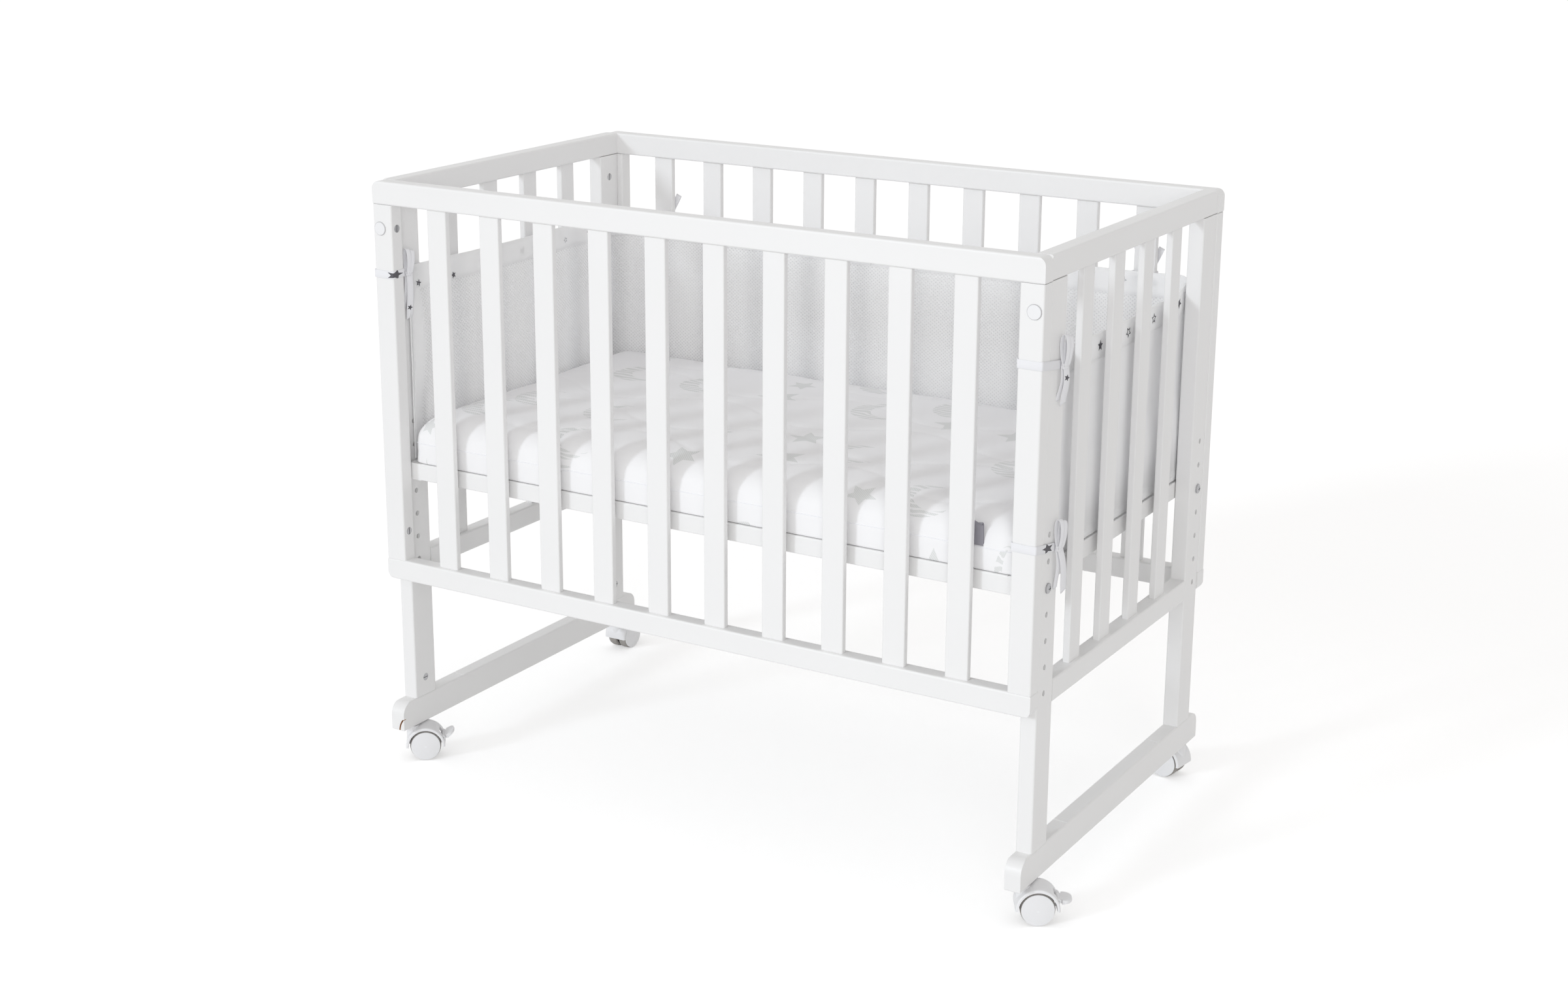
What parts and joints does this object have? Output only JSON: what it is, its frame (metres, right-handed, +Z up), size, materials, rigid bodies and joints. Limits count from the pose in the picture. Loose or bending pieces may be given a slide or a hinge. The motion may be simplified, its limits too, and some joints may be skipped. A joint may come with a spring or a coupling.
{
  "type": "bassinet",
  "caption": "White slatted bedside bassinet on braked castors, with a height adjustable slatted base, a mattress and a mesh liner tied to its posts",
  "frame": {"origin": "centre of the outline seen from above, on the floor under the castors", "axes": "+X along the cot to its right end, +Y from the front panel to the back panel, +Z up"},
  "size_m": [0.9927, 0.5781, 0.8],
  "materials": {
    "white_lacquer": "white satin lacquer over solid wood",
    "raw_wood": "bare fluted wood dowel",
    "zinc_steel": "zinc plated",
    "white_plastic": "moulded, satin",
    "wheel_plastic": "white cover discs with a beige grey soft tread",
    "mattress_fabric": "white quilted jacquard knit over foam",
    "grey_fabric": "woven tag, left bare",
    "liner_fabric": "white cotton bands on spacer mesh"
  },
  "bodies": {
    "frame": {"front_top_rail": "white_lacquer", "front_bottom_rail": "white_lacquer", "front_left_stile": "white_lacquer", "front_right_stile": "white_lacquer", "front_slats": "white_lacquer", "back_top_rail": "white_lacquer", "back_bottom_rail": "white_lacquer", "back_left_stile": "white_lacquer", "back_right_stile": "white_lacquer", "back_slats": "white_lacquer", "left_top_rail": "white_lacquer", "left_bottom_rail": "white_lacquer", "left_front_leg": "white_lacquer", "left_back_leg": "white_lacquer", "left_slats": "white_lacquer", "left_foot_bar": "white_lacquer", "right_top_rail": "white_lacquer", "right_bottom_rail": "white_lacquer", "right_front_leg": "white_lacquer", "right_back_leg": "white_lacquer", "right_slats": "white_lacquer", "right_foot_bar": "white_lacquer", "dowels": "raw_wood", "base_front_rail": "white_lacquer", "base_back_rail": "white_lacquer", "base_left_rail": "white_lacquer", "base_right_rail": "white_lacquer", "base_slats": "white_lacquer", "base_bolts": "zinc_steel", "base_nuts": "zinc_steel", "panel_bolts": "zinc_steel", "panel_nuts": "zinc_steel", "bolt_caps": "white_plastic", "foot_bolts": "zinc_steel", "foot_nuts": "zinc_steel", "liner_left": "liner_fabric", "liner_back": "liner_fabric", "liner_right": "liner_fabric", "liner_ties": "liner_fabric", "castor_stems": "zinc_steel", "castor_sockets": "white_plastic"},
    "mattress_pad": {"mattress": "mattress_fabric", "mattress_label": "grey_fabric"},
    "front_left_fork": {"front_left_hood": "white_plastic"},
    "front_left_wheel_pair": {"front_left_axle": "zinc_steel", "front_left_wheels": "wheel_plastic"},
    "front_left_lever": {"front_left_brake": "white_plastic"},
    "front_right_fork": {"front_right_hood": "white_plastic"},
    "front_right_wheel_pair": {"front_right_axle": "zinc_steel", "front_right_wheels": "wheel_plastic"},
    "front_right_lever": {"front_right_brake": "white_plastic"},
    "back_left_fork": {"back_left_hood": "white_plastic"},
    "back_left_wheel_pair": {"back_left_axle": "zinc_steel", "back_left_wheels": "wheel_plastic"},
    "back_left_lever": {"back_left_brake": "white_plastic"},
    "back_right_fork": {"back_right_hood": "white_plastic"},
    "back_right_wheel_pair": {"back_right_axle": "zinc_steel", "back_right_wheels": "wheel_plastic"},
    "back_right_lever": {"back_right_brake": "white_plastic"}
  },
  "joints": [
    {"name": "mattress_lift", "type": "slide", "parent": "frame", "child": "mattress_pad", "axis": [0, 0, 1], "range_m": [0, 0.45]},
    {"name": "front_left_swivel", "type": "hinge", "parent": "frame", "child": "front_left_fork", "pos_m": [-0.47827, -0.259, 0.0474], "axis": [0, 0, 1], "continuous": true},
    {"name": "front_left_roll", "type": "hinge", "parent": "front_left_fork", "child": "front_left_wheel_pair", "pos_m": [-0.46488, -0.24853, 0.021], "axis": [-0.6157, 0.788, 0], "continuous": true},
    {"name": "front_left_brake_lever", "type": "hinge", "parent": "front_left_fork", "child": "front_left_lever", "pos_m": [-0.44603, -0.23381, 0.03067], "axis": [0.6157, -0.788, 0], "range_deg": [-34, 0]},
    {"name": "front_right_swivel", "type": "hinge", "parent": "frame", "child": "front_right_fork", "pos_m": [0.44373, -0.259, 0.0474], "axis": [0, 0, 1], "continuous": true},
    {"name": "front_right_roll", "type": "hinge", "parent": "front_right_fork", "child": "front_right_wheel_pair", "pos_m": [0.4583, -0.25024, 0.021], "axis": [-0.515, 0.8572, 0], "continuous": true},
    {"name": "front_right_brake_lever", "type": "hinge", "parent": "front_right_fork", "child": "front_right_lever", "pos_m": [0.4788, -0.23792, 0.03067], "axis": [0.515, -0.8572, 0], "range_deg": [0, 34]},
    {"name": "back_left_swivel", "type": "hinge", "parent": "frame", "child": "back_left_fork", "pos_m": [-0.47827, 0.231, 0.0474], "axis": [0, 0, 1], "continuous": true},
    {"name": "back_left_roll", "type": "hinge", "parent": "back_left_fork", "child": "back_left_wheel_pair", "pos_m": [-0.47827, 0.248, 0.021], "axis": [-1, 0, 0], "continuous": true},
    {"name": "back_left_brake_lever", "type": "hinge", "parent": "back_left_fork", "child": "back_left_lever", "pos_m": [-0.47827, 0.27192, 0.03067], "axis": [1, 0, 0], "range_deg": [0, 34]},
    {"name": "back_right_swivel", "type": "hinge", "parent": "frame", "child": "back_right_fork", "pos_m": [0.44373, 0.231, 0.0474], "axis": [0, 0, 1], "continuous": true},
    {"name": "back_right_roll", "type": "hinge", "parent": "back_right_fork", "child": "back_right_wheel_pair", "pos_m": [0.42689, 0.23337, 0.021], "axis": [-0.1392, -0.9903, 0], "continuous": true},
    {"name": "back_right_brake_lever", "type": "hinge", "parent": "back_right_fork", "child": "back_right_lever", "pos_m": [0.4032, 0.23669, 0.03067], "axis": [0.1392, 0.9903, 0], "range_deg": [0, 34]}
  ]
}
